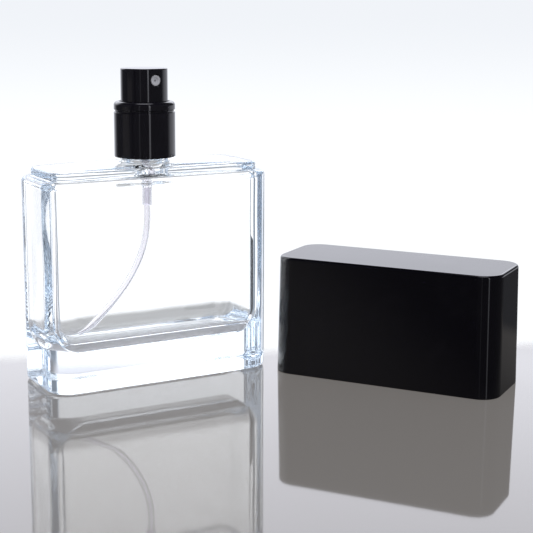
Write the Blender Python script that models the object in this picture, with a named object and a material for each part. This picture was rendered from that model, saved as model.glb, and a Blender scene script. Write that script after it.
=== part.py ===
"""Aftershave bottle: flat glass bottle, crimped spray pump, and a box cap standing beside it.

The origin is the middle of the bottle's flat foot. +X runs to the right along the bottle's
width, -Y is its front, where the nozzle points, and +Z is up. The sizes below are in
millimetres, and MM turns them into metres. Each piece is one object.
"""
import math

import bmesh
import bpy
from mathutils import Matrix, Vector

MM = 0.001

# Glass body
BODY_WIDTH = 71.0
BODY_DEPTH = 28.4
BODY_CORNER = 7.0
HEEL_ROUND = 1.4
LEDGE_Z = 60.9
LEDGE_ROUND = 1.5
TIER_INSET = 2.8
TIER_FOOT_ROUND = 0.5
TIER_TOP_Z = 63.5
TIER_TOP_ROUND = 0.9
CROWN_Z = 64.2

# Cavity of the body
SIDE_WALL = 3.8
FRONT_WALL = 2.8
CAVITY_CORNER = 4.2
CAVITY_TIGHT_CORNER = 0.6
CAVITY_FLOOR_Z = 10.2
CAVITY_HEEL_ROUND = 8.6
CAVITY_CEILING_Z = 59.7
CAVITY_TOP_ROUND = 1.6

# Neck of the bottle
NECK_R = 6.7
NECK_FOOT_ROUND = 1.6
BEAD_R = 7.4
BEAD_LOW_Z = 69.6
NECK_TOP_Z = 73.0
LIP_ROUND = 0.6
BORE_R = 5.0
BORE_FOOT_Z = 60.6
BORE_FOOT_ROUND = 1.2

# Collar and its retainer
COLLAR_R = 9.0
COLLAR_WALL = 0.6
COLLAR_LOW_Z = 65.6
COLLAR_TOP_Z = 81.9
COLLAR_TOP_ROUND = 1.2
COLLAR_MOUTH_R = 7.4
COLLAR_MOUTH_DEPTH = 1.0
COLLAR_FOOT_CHAMFER = 0.25
GROOVE_Z = 79.1
GROOVE_DEPTH = 0.3
GROOVE_WIDTH = 0.8

# Crimp ferrule and gasket
FERRULE_R = 7.9
FERRULE_WALL = 0.35
FERRULE_TOP_Z = 75.6
FERRULE_LOW_Z = 68.5
FERRULE_HOLE_R = 3.15
FERRULE_ROLL = 0.75
FERRULE_EDGE_ROUND = 0.5
GASKET_R = 7.2
GASKET_THICK = 0.8

# Pump housing: a wide barrel for the piston, a narrow one for the spring, and a tail for the tube
FLANGE_LOW_Z = 74.0
HOUSING_FLANGE_R = 7.3
HOUSING_R = 3.9
HOUSING_LOW_Z = 65.7
CHAMBER_R = 2.9
GUIDE_SEAT_R = 3.4
GUIDE_SEAT_Z = 73.4
CHAMBER_FLOOR_Z = 66.9
SPRING_BARREL_R = 1.8
SPRING_BARREL_LOW_Z = 59.6
SPRING_BORE_R = 1.38
SPRING_SEAT_Z = 61.3
BALL_WELL_R = 0.95
BALL_R = 0.75
BALL_REST_Z = 59.9
BALL_SEAT_DEPTH = 0.56
BALL_LIFT_OFF_SEAT = 0.12
TAIL_R = 1.53
TAIL_TOP_Z = 59.0
TAIL_LOW_Z = 51.3
INLET_R = 0.5

# Dip tube
TUBE_R = 1.0
TUBE_BORE_R = 0.6
TUBE_TOP_Z = 56.5
TUBE_BEND_Z = 51.0
TUBE_END_X = -22.6
TUBE_END_Z = 13.0
TUBE_TOP_PULL_X = 1.0
TUBE_TOP_PULL_Z = 17.8
TUBE_END_PULL_X = 13.1
TUBE_END_PULL_Z = 11.1

# Stem, its guide and seal, piston, valve pin and spring
STEM_R = 1.45
STEM_BORE_R = 0.6
STEM_LOW_Z = 71.6
STEM_TOP_Z = 86.2
GUIDE_LOW_Z = 74.5
GUIDE_TOP_Z = 77.4
SEAL_THICK = 0.9
PISTON_R = 2.8
PISTON_WAIST_R = 2.5
PISTON_LOW_Z = 70.8
PISTON_TOP_Z = 72.9
PISTON_LIP_DEPTH = 0.5
PIN_FOOT_Z = 65.9
PIN_FOOT_R = 0.7
PIN_FLANGE_R = 1.25
PIN_FLANGE_Z = 66.7
PIN_FLANGE_THICK = 0.4
PIN_R = 1.0
PIN_TIP_R = 0.45
PIN_TIP_REACH = 1.2
SPRING_R = 1.12
SPRING_WIRE_R = 0.13
SPRING_LOW_Z = 61.4
SPRING_TOP_Z = 66.6
SPRING_TURNS = 5.5

# Actuator
ACTUATOR_R = 6.9
ACTUATOR_LOW_Z = 80.5
ACTUATOR_TOP_Z = 91.45
ACTUATOR_WALL = 0.5
ACTUATOR_EDGE_ROUND = 0.4
CORE_ROOF_Z = 85.6
CORE_BOSS_R = 2.6
CORE_BOSS_LOW_Z = 82.4
CORE_SKIRT_LOW_Z = 81.3
CORE_SKIRT_WALL = 0.9
CORE_SOCKET_TOP_Z = 86.3
PASSAGE_R = 0.6
NOZZLE_Z = 88.1
NOZZLE_R = 1.55
NOZZLE_TURN = 6.0
NOZZLE_INSET = 0.25
NOZZLE_LENGTH = 2.6
NOZZLE_HOLE_R = 0.25
NOZZLE_DISH_DEPTH = 0.3
NOZZLE_RIM_R = 1.05
NOZZLE_EDGE = 0.12
WINDOW_BACK = 5.0
PASSAGE_START = 4.5

# Cap, standing on its open end beside the bottle
CAP_X = 63.05
CAP_Y = -40.75
CAP_TURN = -55.75
CAP_WIDTH = 70.1
CAP_DEPTH = 27.3
CAP_HEIGHT = 35.7
CAP_DRAFT = 0.0146
CAP_CORNER = 5.8
CAP_WALL = 1.7
CAP_TOP_WALL = 2.0
CAP_EDGE_ROUND = 0.8
CAP_RIM_CHAMFER = 0.3
SLEEVE_R = 10.3
SLEEVE_BORE_R = 9.2
SLEEVE_LOW_Z = 3.4
INSERT_PLATE = 1.6

GAP = 0.25
SLIDE_GAP = 0.06
CORNER_STEPS = 4
LONG_SIDE_STEPS = 7
SHORT_SIDE_STEPS = 4
ROUND_SIDES = 40
INNER_SIDES = 24


def make_material(name, colour, roughness, metallic=0.0, transmission=0.0):
    """A Principled material from its colour, roughness, metallic and see-through values."""
    material = bpy.data.materials.new(name)
    material.use_nodes = True
    shader = material.node_tree.nodes["Principled BSDF"]
    shader.inputs["Base Color"].default_value = (*colour, 1.0)
    shader.inputs["Roughness"].default_value = roughness
    shader.inputs["Metallic"].default_value = metallic
    shader.inputs["Transmission Weight"].default_value = transmission
    return material


def add_object(name, bm, material, centre=(0.0, 0.0, 0.0), smooth_angle=35.0):
    """Close a mesh given in millimetres into an object whose origin is at centre."""
    bmesh.ops.remove_doubles(bm, verts=bm.verts, dist=1e-5)
    bmesh.ops.recalc_face_normals(bm, faces=bm.faces)
    bmesh.ops.transform(bm, verts=bm.verts,
                        matrix=Matrix.Scale(MM, 4) @ Matrix.Translation(-Vector(centre)))
    mesh = bpy.data.meshes.new(name)
    bm.to_mesh(mesh)
    bm.free()
    mesh.materials.append(material)
    mesh.shade_smooth()
    mesh.set_sharp_from_angle(angle=math.radians(smooth_angle))
    piece = bpy.data.objects.new(name, mesh)
    piece.location = Vector(centre) * MM
    bpy.context.scene.collection.objects.link(piece)
    return piece


def rounding(radius, steps=4):
    """(run, rise) along a quarter round that starts flat and ends upright."""
    turns = [math.pi / 2 * step / steps for step in range(steps + 1)]
    return [(radius * math.sin(turn), radius * (1 - math.cos(turn))) for turn in turns]


def outline(width, depth, corner, z):
    """Points round a rounded rectangle, with extra points spread along its straight sides."""
    reach_x = width / 2 - corner
    reach_y = depth / 2 - corner
    corners = ((1, 1), (-1, 1), (-1, -1), (1, -1))
    points = []
    for quarter, (side_x, side_y) in enumerate(corners):
        for step in range(CORNER_STEPS + 1):
            turn = math.pi / 2 * (quarter + step / CORNER_STEPS)
            points.append(Vector((side_x * reach_x + corner * math.cos(turn),
                                  side_y * reach_y + corner * math.sin(turn), z)))
        next_x, next_y = corners[(quarter + 1) % 4]
        steps = LONG_SIDE_STEPS if quarter % 2 == 0 else SHORT_SIDE_STEPS
        turn = math.pi / 2 * (quarter + 1)
        start = points[-1]
        end = Vector((next_x * reach_x + corner * math.cos(turn),
                      next_y * reach_y + corner * math.sin(turn), z))
        points += [start.lerp(end, step / steps) for step in range(1, steps)]
    return points


def circle_for(points, radius, z):
    """A circle with one point for each outline point, at its angle on the squared-up outline."""
    half_x = max(point.x for point in points)
    half_y = max(point.y for point in points)
    turns = [math.atan2(point.y / half_y, point.x / half_x) for point in points]
    return [Vector((radius * math.cos(turn), radius * math.sin(turn), z)) for turn in turns]


def loft(rings, closed=False):
    """Skin each ring to the next with quads, and cap the two ends or join them to each other."""
    bm = bmesh.new()
    rows = [[bm.verts.new(point) for point in ring] for ring in rings]
    for lower, upper in zip(rows, rows[1:] + rows[:1] if closed else rows[1:]):
        for index in range(len(lower)):
            bm.faces.new((lower[index - 1], lower[index], upper[index], upper[index - 1]))
    if not closed:
        bm.faces.new(rows[0])
        bm.faces.new(rows[-1])
    return bm


def turned(profile, sides):
    """Spin a closed profile of (radius, height) points round Z; points on the axis are merged."""
    bm = bmesh.new()
    verts = [bm.verts.new((radius, 0.0, z)) for radius, z in profile]
    edges = []
    for first, second in zip(verts, verts[1:] + verts[:1]):
        on_axis = first.co.x < 1e-9 and second.co.x < 1e-9
        if not on_axis:
            edges.append(bm.edges.new((first, second)))
    bmesh.ops.spin(bm, geom=verts + edges, cent=(0, 0, 0), axis=(0, 0, 1),
                   angle=2 * math.pi, steps=sides, use_merge=True)
    return bm


def tube_wall(low_z, high_z, inner, outer):
    """Profile of a plain ring."""
    return [(inner, low_z), (outer, low_z), (outer, high_z), (inner, high_z)]


def cutter(name, radius, start, end, sides=20):
    """A round cutting bar between two points in millimetres, which isn't part of the bottle."""
    start, end = Vector(start), Vector(end)
    bm = bmesh.new()
    turn = (end - start).to_track_quat("Z", "Y").to_matrix().to_4x4()
    bmesh.ops.create_cone(bm, cap_ends=True, segments=sides, radius1=radius, radius2=radius,
                          depth=(end - start).length,
                          matrix=Matrix.Translation((start + end) / 2) @ turn)
    bar = add_object(name, bm, bpy.data.materials["cutting_bar"])
    bar.hide_render = True
    bar.display_type = "WIRE"
    return bar


def ahead(distance, z):
    """A point that far from the pump's axis, the way the nozzle faces."""
    turn = math.radians(NOZZLE_TURN)
    return distance * math.sin(turn), -distance * math.cos(turn), z


def cut(piece, bar):
    """Take a cutting bar out of a piece."""
    modifier = piece.modifiers.new(bar.name, "BOOLEAN")
    modifier.operation = "DIFFERENCE"
    modifier.solver = "EXACT"
    modifier.object = bar


def body_ring(inset, z):
    """The body's outline, taken in by inset."""
    corner = max(BODY_CORNER - inset, 1.0)
    return outline(BODY_WIDTH - 2 * inset, BODY_DEPTH - 2 * inset, corner, z)


def cavity_ring(inset, z):
    """The cavity's outline, taken in by inset."""
    corner = max(CAVITY_CORNER - inset, CAVITY_TIGHT_CORNER)
    width = BODY_WIDTH - 2 * (SIDE_WALL + inset)
    depth = BODY_DEPTH - 2 * (FRONT_WALL + inset)
    return outline(width, depth, corner, z)


def morph(first, last, steps, bend):
    """Rings between two rings, whose heights follow bend while their outlines change evenly."""
    rings = []
    for step in range(1, steps):
        share = step / steps
        ring = [a.lerp(b, share) for a, b in zip(first, last)]
        height = first[0].z + (last[0].z - first[0].z) * bend(share)
        rings.append([Vector((point.x, point.y, height)) for point in ring])
    return rings


def glass_bottle(material):
    """One closed wall: up the outside, over the neck's lip and down the inside to the floor."""
    rings = [body_ring(HEEL_ROUND - run, rise) for run, rise in rounding(HEEL_ROUND)]
    rings += [body_ring(LEDGE_ROUND - run, LEDGE_Z - rise)
              for run, rise in reversed(rounding(LEDGE_ROUND))]
    rings += [body_ring(TIER_INSET - TIER_FOOT_ROUND + run, LEDGE_Z + rise)
              for run, rise in rounding(TIER_FOOT_ROUND, 2)]
    rings += [body_ring(TIER_INSET + TIER_TOP_ROUND - run, TIER_TOP_Z - rise)
              for run, rise in reversed(rounding(TIER_TOP_ROUND, 3))]

    def circle(radius, z):
        return circle_for(body_ring(0.0, z), radius, z)

    neck_foot = [circle(NECK_R + NECK_FOOT_ROUND - run, CROWN_Z + rise)
                 for run, rise in rounding(NECK_FOOT_ROUND, 3)]
    rings += morph(rings[-1], neck_foot[0], 4, lambda share: math.sin(share * math.pi / 2))
    rings += neck_foot
    rings += [circle(NECK_R, BEAD_LOW_Z), circle(BEAD_R, BEAD_LOW_Z + BEAD_R - NECK_R)]
    rings += [circle(BEAD_R - LIP_ROUND + run, NECK_TOP_Z - rise)
              for run, rise in reversed(rounding(LIP_ROUND, 2))]
    rings += [circle(BORE_R + LIP_ROUND / 2 - run, NECK_TOP_Z - rise)
              for run, rise in rounding(LIP_ROUND / 2, 2)]
    rings += [circle(BORE_R + rise, BORE_FOOT_Z + BORE_FOOT_ROUND - run)
              for run, rise in rounding(BORE_FOOT_ROUND, 3)]
    ceiling = [cavity_ring(CAVITY_TOP_ROUND - run, CAVITY_CEILING_Z - rise)
               for run, rise in rounding(CAVITY_TOP_ROUND)]
    rings += morph(rings[-1], ceiling[0], 3, lambda share: share)
    rings += ceiling
    rings += [cavity_ring(CAVITY_HEEL_ROUND - run, CAVITY_FLOOR_Z + rise)
              for run, rise in reversed(rounding(CAVITY_HEEL_ROUND, 6))]
    return add_object("glass_bottle", loft(rings), material)


def crimp_ferrule(material):
    """Metal cup over the bead, rolled in under it, with a hole for the stem guide."""
    inner = FERRULE_R - FERRULE_WALL
    tuck = inner - FERRULE_ROLL + GAP
    profile = [(FERRULE_HOLE_R, FERRULE_TOP_Z - FERRULE_WALL), (inner, FERRULE_TOP_Z - FERRULE_WALL),
               (inner, FERRULE_LOW_Z + FERRULE_ROLL), (tuck, FERRULE_LOW_Z + FERRULE_WALL),
               (tuck, FERRULE_LOW_Z), (FERRULE_R - FERRULE_ROLL / 2, FERRULE_LOW_Z),
               (FERRULE_R, FERRULE_LOW_Z + FERRULE_ROLL)]
    profile += [(FERRULE_R - FERRULE_EDGE_ROUND + run, FERRULE_TOP_Z - rise)
                for run, rise in reversed(rounding(FERRULE_EDGE_ROUND, 2))]
    profile += [(FERRULE_HOLE_R, FERRULE_TOP_Z)]
    return add_object("crimp_ferrule", turned(profile, ROUND_SIDES), material)


def collar(material):
    """Outer sleeve with a rounded mouth and a thin groove below it."""
    low_half = GROOVE_Z - GROOVE_WIDTH / 2
    high_half = GROOVE_Z + GROOVE_WIDTH / 2
    inner = COLLAR_R - COLLAR_WALL
    mouth_low = COLLAR_TOP_Z - COLLAR_MOUTH_DEPTH
    profile = [(inner, COLLAR_LOW_Z), (COLLAR_R - COLLAR_FOOT_CHAMFER, COLLAR_LOW_Z),
               (COLLAR_R, COLLAR_LOW_Z + COLLAR_FOOT_CHAMFER),
               (COLLAR_R, low_half), (COLLAR_R - GROOVE_DEPTH, low_half + GROOVE_DEPTH / 2),
               (COLLAR_R - GROOVE_DEPTH, high_half - GROOVE_DEPTH / 2), (COLLAR_R, high_half)]
    profile += [(COLLAR_R - COLLAR_TOP_ROUND + run, COLLAR_TOP_Z - rise)
                for run, rise in rounding(COLLAR_TOP_ROUND)[:0:-1]]
    profile += [(COLLAR_MOUTH_R, COLLAR_TOP_Z), (COLLAR_MOUTH_R, mouth_low),
                (inner, mouth_low - COLLAR_WALL)]
    return add_object("collar", turned(profile, ROUND_SIDES), material)


def collar_retainer(material):
    """Plastic sleeve that grips the ferrule inside the collar."""
    outer = COLLAR_R - COLLAR_WALL - SLIDE_GAP
    grip = FERRULE_R + SLIDE_GAP
    mouth = COLLAR_MOUTH_R + SLIDE_GAP
    low = COLLAR_LOW_Z + COLLAR_WALL
    top = COLLAR_TOP_Z - COLLAR_MOUTH_DEPTH - COLLAR_WALL - GAP
    shelf = FERRULE_TOP_Z + GAP
    profile = [(grip, low), (outer, low), (outer, top), (mouth, top), (mouth, shelf), (grip, shelf)]
    return add_object("collar_retainer", turned(profile, ROUND_SIDES), material)


def pump_housing(material):
    """Stepped barrel hung by its flange: piston chamber, spring bore, ball seat and tube socket."""
    flange_top = FERRULE_TOP_Z - FERRULE_WALL - SLIDE_GAP
    socket = TUBE_R + SLIDE_GAP
    socket_top = TUBE_TOP_Z + GAP
    taper = 0.6
    profile = [(GUIDE_SEAT_R, flange_top), (GUIDE_SEAT_R, GUIDE_SEAT_Z), (CHAMBER_R, GUIDE_SEAT_Z),
               (CHAMBER_R, CHAMBER_FLOOR_Z), (SPRING_BORE_R, CHAMBER_FLOOR_Z), (SPRING_BORE_R, SPRING_SEAT_Z),
               (BALL_WELL_R, SPRING_SEAT_Z), (BALL_WELL_R, BALL_REST_Z),
               (INLET_R, BALL_REST_Z - BALL_SEAT_DEPTH),
               (INLET_R, socket_top), (socket, socket_top), (socket, TAIL_LOW_Z), (TAIL_R, TAIL_LOW_Z),
               (TAIL_R, TAIL_TOP_Z), (SPRING_BARREL_R, SPRING_BARREL_LOW_Z),
               (SPRING_BARREL_R, HOUSING_LOW_Z - taper), (HOUSING_R - taper, HOUSING_LOW_Z - taper / 2),
               (HOUSING_R, HOUSING_LOW_Z + taper), (HOUSING_R, FLANGE_LOW_Z),
               (HOUSING_FLANGE_R, FLANGE_LOW_Z), (HOUSING_FLANGE_R, flange_top)]
    return add_object("pump_housing", turned(profile, INNER_SIDES), material)


def stem_guide(material):
    """Bush snapped into the top of the housing, held down by the ferrule round its boss."""
    shoulder = FERRULE_TOP_Z - FERRULE_WALL - 2 * SLIDE_GAP
    outer = GUIDE_SEAT_R - SLIDE_GAP
    boss = FERRULE_HOLE_R - 2 * SLIDE_GAP
    bore = STEM_R + SLIDE_GAP
    edge = 0.3
    profile = [(bore, GUIDE_LOW_Z), (outer, GUIDE_LOW_Z), (outer, shoulder), (boss, shoulder),
               (boss, GUIDE_TOP_Z - edge), (boss - edge, GUIDE_TOP_Z), (bore, GUIDE_TOP_Z)]
    return add_object("stem_guide", turned(profile, INNER_SIDES), material)


def dip_tube(material):
    """Hollow tube, straight in its socket and then curling down to the left to the floor."""
    top = Vector((0.0, 0.0, TUBE_BEND_Z))
    end = Vector((TUBE_END_X, 0.0, TUBE_END_Z))
    pull_top = top + Vector((TUBE_TOP_PULL_X, 0.0, -TUBE_TOP_PULL_Z))
    pull_end = end + Vector((TUBE_END_PULL_X, 0.0, TUBE_END_PULL_Z))
    steps = 18
    path = [Vector((0.0, 0.0, TUBE_TOP_Z))]
    for step in range(steps + 1):
        t = step / steps
        path.append((1 - t) ** 3 * top + 3 * (1 - t) ** 2 * t * pull_top
                    + 3 * (1 - t) * t * t * pull_end + t ** 3 * end)

    def rings(radius):
        found = []
        for index, point in enumerate(path):
            along = (path[min(index + 1, steps + 1)] - path[max(index - 1, 0)]).normalized()
            across = Vector((0.0, 1.0, 0.0)).cross(along)
            turns = [2 * math.pi * side / 10 for side in range(10)]
            found.append([point + radius * (across * math.cos(turn) + Vector((0.0, math.sin(turn), 0.0)))
                          for turn in turns])
        return found

    return add_object("dip_tube", loft(rings(TUBE_R) + rings(TUBE_BORE_R)[::-1], closed=True), material)


def return_spring(material):
    """Helical wire between its seat in the spring bore and the valve pin's flange."""
    per_turn = 12
    count = round(SPRING_TURNS * per_turn)
    curve = bpy.data.curves.new("return_spring", "CURVE")
    curve.dimensions = "3D"
    curve.bevel_depth = SPRING_WIRE_R * MM
    curve.bevel_resolution = 1
    curve.use_fill_caps = True
    line = curve.splines.new("POLY")
    line.points.add(count)
    low = SPRING_LOW_Z + SPRING_WIRE_R
    high = SPRING_TOP_Z - SPRING_WIRE_R
    for index in range(count + 1):
        turn = 2 * math.pi * index / per_turn
        z = low + (high - low) * index / count
        line.points[index].co = (SPRING_R * math.cos(turn) * MM, SPRING_R * math.sin(turn) * MM, z * MM, 1.0)
    curve.materials.append(material)
    spring = bpy.data.objects.new("return_spring", curve)
    bpy.context.scene.collection.objects.link(spring)
    return spring


def check_ball(material):
    """Steel ball resting on the housing's seat; its origin is its centre."""
    middle = (0.0, 0.0, BALL_REST_Z + BALL_LIFT_OFF_SEAT)
    bm = bmesh.new()
    bmesh.ops.create_uvsphere(bm, u_segments=14, v_segments=9, radius=BALL_R,
                              matrix=Matrix.Translation(middle))
    return add_object("check_ball", bm, material, centre=middle)


def pump_stem(material):
    """Hollow stem from the piston up into the actuator; its origin is on the pump's axis."""
    profile = tube_wall(STEM_LOW_Z, STEM_TOP_Z, STEM_BORE_R, STEM_R)
    return add_object("stem", turned(profile, INNER_SIDES), material, centre=(0.0, 0.0, STEM_LOW_Z))


def piston(material):
    """Sliding seal round the foot of the stem, with a thin lip at each end."""
    bore = STEM_R + SLIDE_GAP
    middle = (PISTON_LOW_Z + PISTON_TOP_Z) / 2
    profile = [(bore, PISTON_LOW_Z + PISTON_LIP_DEPTH), (PISTON_WAIST_R, PISTON_LOW_Z),
               (PISTON_R, PISTON_LOW_Z),
               (PISTON_WAIST_R, middle), (PISTON_R, PISTON_TOP_Z), (PISTON_WAIST_R, PISTON_TOP_Z),
               (bore, PISTON_TOP_Z - PISTON_LIP_DEPTH)]
    return add_object("piston", turned(profile, INNER_SIDES), material, centre=(0.0, 0.0, PISTON_LOW_Z))


def valve_pin(material):
    """Pin that closes the stem's foot, pushed up by the spring under its flange."""
    flange_top = PIN_FLANGE_Z + PIN_FLANGE_THICK
    tip_low = STEM_LOW_Z - SLIDE_GAP
    tip_top = STEM_LOW_Z + PIN_TIP_REACH
    profile = [(0.0, PIN_FOOT_Z), (PIN_FOOT_R, PIN_FOOT_Z), (PIN_FOOT_R, PIN_FLANGE_Z),
               (PIN_FLANGE_R, PIN_FLANGE_Z), (PIN_FLANGE_R, flange_top), (PIN_R, flange_top),
               (PIN_R, tip_low - GAP), (PIN_TIP_R, tip_low), (PIN_TIP_R, tip_top), (0.0, tip_top)]
    return add_object("valve_pin", turned(profile, INNER_SIDES), material, centre=(0.0, 0.0, PIN_FLANGE_Z))


def actuator_shell(material, hole):
    """Metal button with a rounded top edge, open below, with a round window for the nozzle."""
    inner = ACTUATOR_R - ACTUATOR_WALL
    ceiling = ACTUATOR_TOP_Z - ACTUATOR_WALL
    profile = [(0.0, ceiling), (inner, ceiling), (inner, ACTUATOR_LOW_Z), (ACTUATOR_R, ACTUATOR_LOW_Z)]
    profile += [(ACTUATOR_R - ACTUATOR_EDGE_ROUND + run, ACTUATOR_TOP_Z - rise)
                for run, rise in reversed(rounding(ACTUATOR_EDGE_ROUND, 3))]
    profile += [(0.0, ACTUATOR_TOP_Z)]
    shell = add_object("actuator_shell", turned(profile, ROUND_SIDES), material,
                       centre=(0.0, 0.0, ACTUATOR_LOW_Z))
    cut(shell, hole)
    return shell


def actuator_core(material, pocket, passage):
    """Plastic button inside the shell: a socket for the stem, a feed passage and a nozzle pocket."""
    outer = ACTUATOR_R - ACTUATOR_WALL - 2 * SLIDE_GAP
    top = ACTUATOR_TOP_Z - ACTUATOR_WALL - 2 * SLIDE_GAP
    inner = outer - CORE_SKIRT_WALL
    socket = STEM_R + SLIDE_GAP
    profile = [(0.0, CORE_SOCKET_TOP_Z), (socket, CORE_SOCKET_TOP_Z), (socket, CORE_BOSS_LOW_Z),
               (CORE_BOSS_R, CORE_BOSS_LOW_Z), (CORE_BOSS_R, CORE_ROOF_Z), (inner, CORE_ROOF_Z),
               (inner, CORE_SKIRT_LOW_Z), (outer, CORE_SKIRT_LOW_Z), (outer, top), (0.0, top)]
    core = add_object("actuator_core", turned(profile, INNER_SIDES), material,
                      centre=(0.0, 0.0, ACTUATOR_LOW_Z))
    cut(core, pocket)
    cut(core, passage)
    return core


def nozzle_insert(material):
    """Round spray insert with a dished face and a fine hole, pressed into the core's pocket."""
    front = ACTUATOR_R - NOZZLE_INSET
    back = front - NOZZLE_LENGTH
    rim, edge = NOZZLE_RIM_R, NOZZLE_EDGE
    profile = [(NOZZLE_HOLE_R, front - NOZZLE_DISH_DEPTH), (rim - NOZZLE_INSET, front - NOZZLE_DISH_DEPTH / 2),
               (rim, front),
               (NOZZLE_R - edge, front), (NOZZLE_R, front - edge), (NOZZLE_R, back),
               (NOZZLE_HOLE_R + 0.2, back), (NOZZLE_HOLE_R, back + 0.2)]
    bm = turned(profile, INNER_SIDES)
    bmesh.ops.rotate(bm, verts=bm.verts, cent=(0, 0, 0), matrix=Matrix.Rotation(math.pi / 2, 3, "X"))
    turn = Matrix.Rotation(math.radians(NOZZLE_TURN), 3, "Z")
    bmesh.ops.rotate(bm, verts=bm.verts, cent=(0, 0, 0), matrix=turn)
    bmesh.ops.translate(bm, verts=bm.verts, vec=(0.0, 0.0, NOZZLE_Z))
    return add_object("nozzle_insert", bm, material, centre=(0.0, 0.0, ACTUATOR_LOW_Z))


def cap_ring(inset, z):
    """The cap's outline at height z, with its draft, taken in by inset."""
    taper = 2 * (CAP_DRAFT * z + inset)
    return outline(CAP_WIDTH - taper, CAP_DEPTH - taper, max(CAP_CORNER - inset, 1.0), z)


def place_cap_piece(piece):
    """Stand a piece of the cap, which is made round the Z axis, where the cap stands."""
    piece.location = Vector((CAP_X, CAP_Y, 0.0)) * MM
    piece.rotation_euler = (0.0, 0.0, math.radians(CAP_TURN))
    return piece


def cap_shell(material):
    """Box shell, open below, with softly rounded top edges."""
    rings = [cap_ring(CAP_WALL, CAP_HEIGHT - CAP_TOP_WALL), cap_ring(CAP_WALL, 0.0),
             cap_ring(CAP_RIM_CHAMFER, 0.0), cap_ring(0.0, CAP_RIM_CHAMFER)]
    rings += [cap_ring(CAP_EDGE_ROUND - run, CAP_HEIGHT - rise)
              for run, rise in reversed(rounding(CAP_EDGE_ROUND, 3))]
    return place_cap_piece(add_object("cap_shell", loft(rings), material))


def cap_insert(material):
    """Plate under the cap's top with a round sleeve that grips the collar."""
    plate_top = CAP_HEIGHT - CAP_TOP_WALL - GAP
    plate_low = plate_top - INSERT_PLATE
    plate = cap_ring(CAP_WALL + GAP, plate_low)
    rings = [cap_ring(CAP_WALL + GAP, plate_top), plate]
    rings += [circle_for(plate, radius, z) for radius, z in
              ((SLEEVE_R, plate_low), (SLEEVE_R, SLEEVE_LOW_Z), (SLEEVE_BORE_R, SLEEVE_LOW_Z),
               (SLEEVE_BORE_R, plate_low))]
    return place_cap_piece(add_object("cap_insert", loft(rings), material))


def build_bottle():
    """Make every piece."""
    for old in list(bpy.data.objects):
        bpy.data.objects.remove(old)

    glass = make_material("clear_glass", (0.95, 0.97, 0.97), 0.02, transmission=1.0)
    gloss_black = make_material("gloss_black", (0.012, 0.012, 0.014), 0.08)
    black_plastic = make_material("black_plastic", (0.02, 0.02, 0.022), 0.35)
    clear_plastic = make_material("clear_plastic", (0.86, 0.88, 0.9), 0.2, transmission=0.8)
    white_plastic = make_material("white_plastic", (0.75, 0.76, 0.78), 0.4)
    steel = make_material("bright_steel", (0.6, 0.6, 0.6), 0.25, metallic=1.0)
    aluminium = make_material("aluminium", (0.75, 0.76, 0.77), 0.3, metallic=1.0)
    rubber = make_material("black_rubber", (0.04, 0.04, 0.04), 0.7)
    make_material("cutting_bar", (0.8, 0.1, 0.1), 0.5)

    glass_bottle(glass)
    gasket_low = NECK_TOP_Z + SLIDE_GAP
    gasket = tube_wall(gasket_low, gasket_low + GASKET_THICK, HOUSING_R + 2 * SLIDE_GAP, GASKET_R)
    add_object("neck_gasket", turned(gasket, ROUND_SIDES), rubber)
    crimp_ferrule(aluminium)
    collar(gloss_black)
    collar_retainer(black_plastic)

    pump_housing(clear_plastic)
    stem_guide(white_plastic)
    seal_low = GUIDE_SEAT_Z + SLIDE_GAP
    seal = tube_wall(seal_low, seal_low + SEAL_THICK, STEM_R + SLIDE_GAP, GUIDE_SEAT_R - SLIDE_GAP)
    add_object("stem_seal", turned(seal, INNER_SIDES), rubber)
    dip_tube(clear_plastic)
    return_spring(steel)
    check_ball(steel)
    pump_stem(white_plastic)
    piston(white_plastic)
    valve_pin(white_plastic)

    outside = ahead(ACTUATOR_R + 1, NOZZLE_Z)
    pocket_end = ahead(ACTUATOR_R - NOZZLE_INSET - NOZZLE_LENGTH - GAP, NOZZLE_Z)
    window = cutter("window_bar", NOZZLE_R + 2 * SLIDE_GAP, outside, ahead(WINDOW_BACK, NOZZLE_Z), 24)
    pocket = cutter("pocket_bar", NOZZLE_R + SLIDE_GAP, outside, pocket_end, 24)
    passage = cutter("passage_bar", PASSAGE_R, ahead(PASSAGE_START, NOZZLE_Z), (0, 0, STEM_TOP_Z - GAP), 12)
    actuator_shell(gloss_black, window)
    actuator_core(black_plastic, pocket, passage)
    nozzle_insert(white_plastic)

    cap_shell(gloss_black)
    cap_insert(black_plastic)


build_bottle()
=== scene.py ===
import math

import bpy
import numpy as np
from mathutils import Matrix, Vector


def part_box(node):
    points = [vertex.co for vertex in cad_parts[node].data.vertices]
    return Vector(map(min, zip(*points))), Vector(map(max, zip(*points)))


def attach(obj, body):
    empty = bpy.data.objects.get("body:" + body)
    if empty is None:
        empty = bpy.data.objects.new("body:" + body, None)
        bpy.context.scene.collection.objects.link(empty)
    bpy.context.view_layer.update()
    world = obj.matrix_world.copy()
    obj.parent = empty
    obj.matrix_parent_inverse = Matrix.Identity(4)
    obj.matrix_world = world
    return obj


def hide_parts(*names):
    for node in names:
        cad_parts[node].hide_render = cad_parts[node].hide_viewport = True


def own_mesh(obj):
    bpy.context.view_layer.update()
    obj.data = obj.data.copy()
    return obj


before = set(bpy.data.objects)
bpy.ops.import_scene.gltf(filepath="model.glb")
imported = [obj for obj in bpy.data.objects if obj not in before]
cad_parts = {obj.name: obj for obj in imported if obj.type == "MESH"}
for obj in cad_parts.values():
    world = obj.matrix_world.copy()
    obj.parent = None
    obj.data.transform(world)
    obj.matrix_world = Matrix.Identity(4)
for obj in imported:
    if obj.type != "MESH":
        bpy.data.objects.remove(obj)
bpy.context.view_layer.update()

mm = 0.001
sharpAngle = 38   # edges between faces that turn more than this stay sharp
scene = bpy.context.scene


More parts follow.
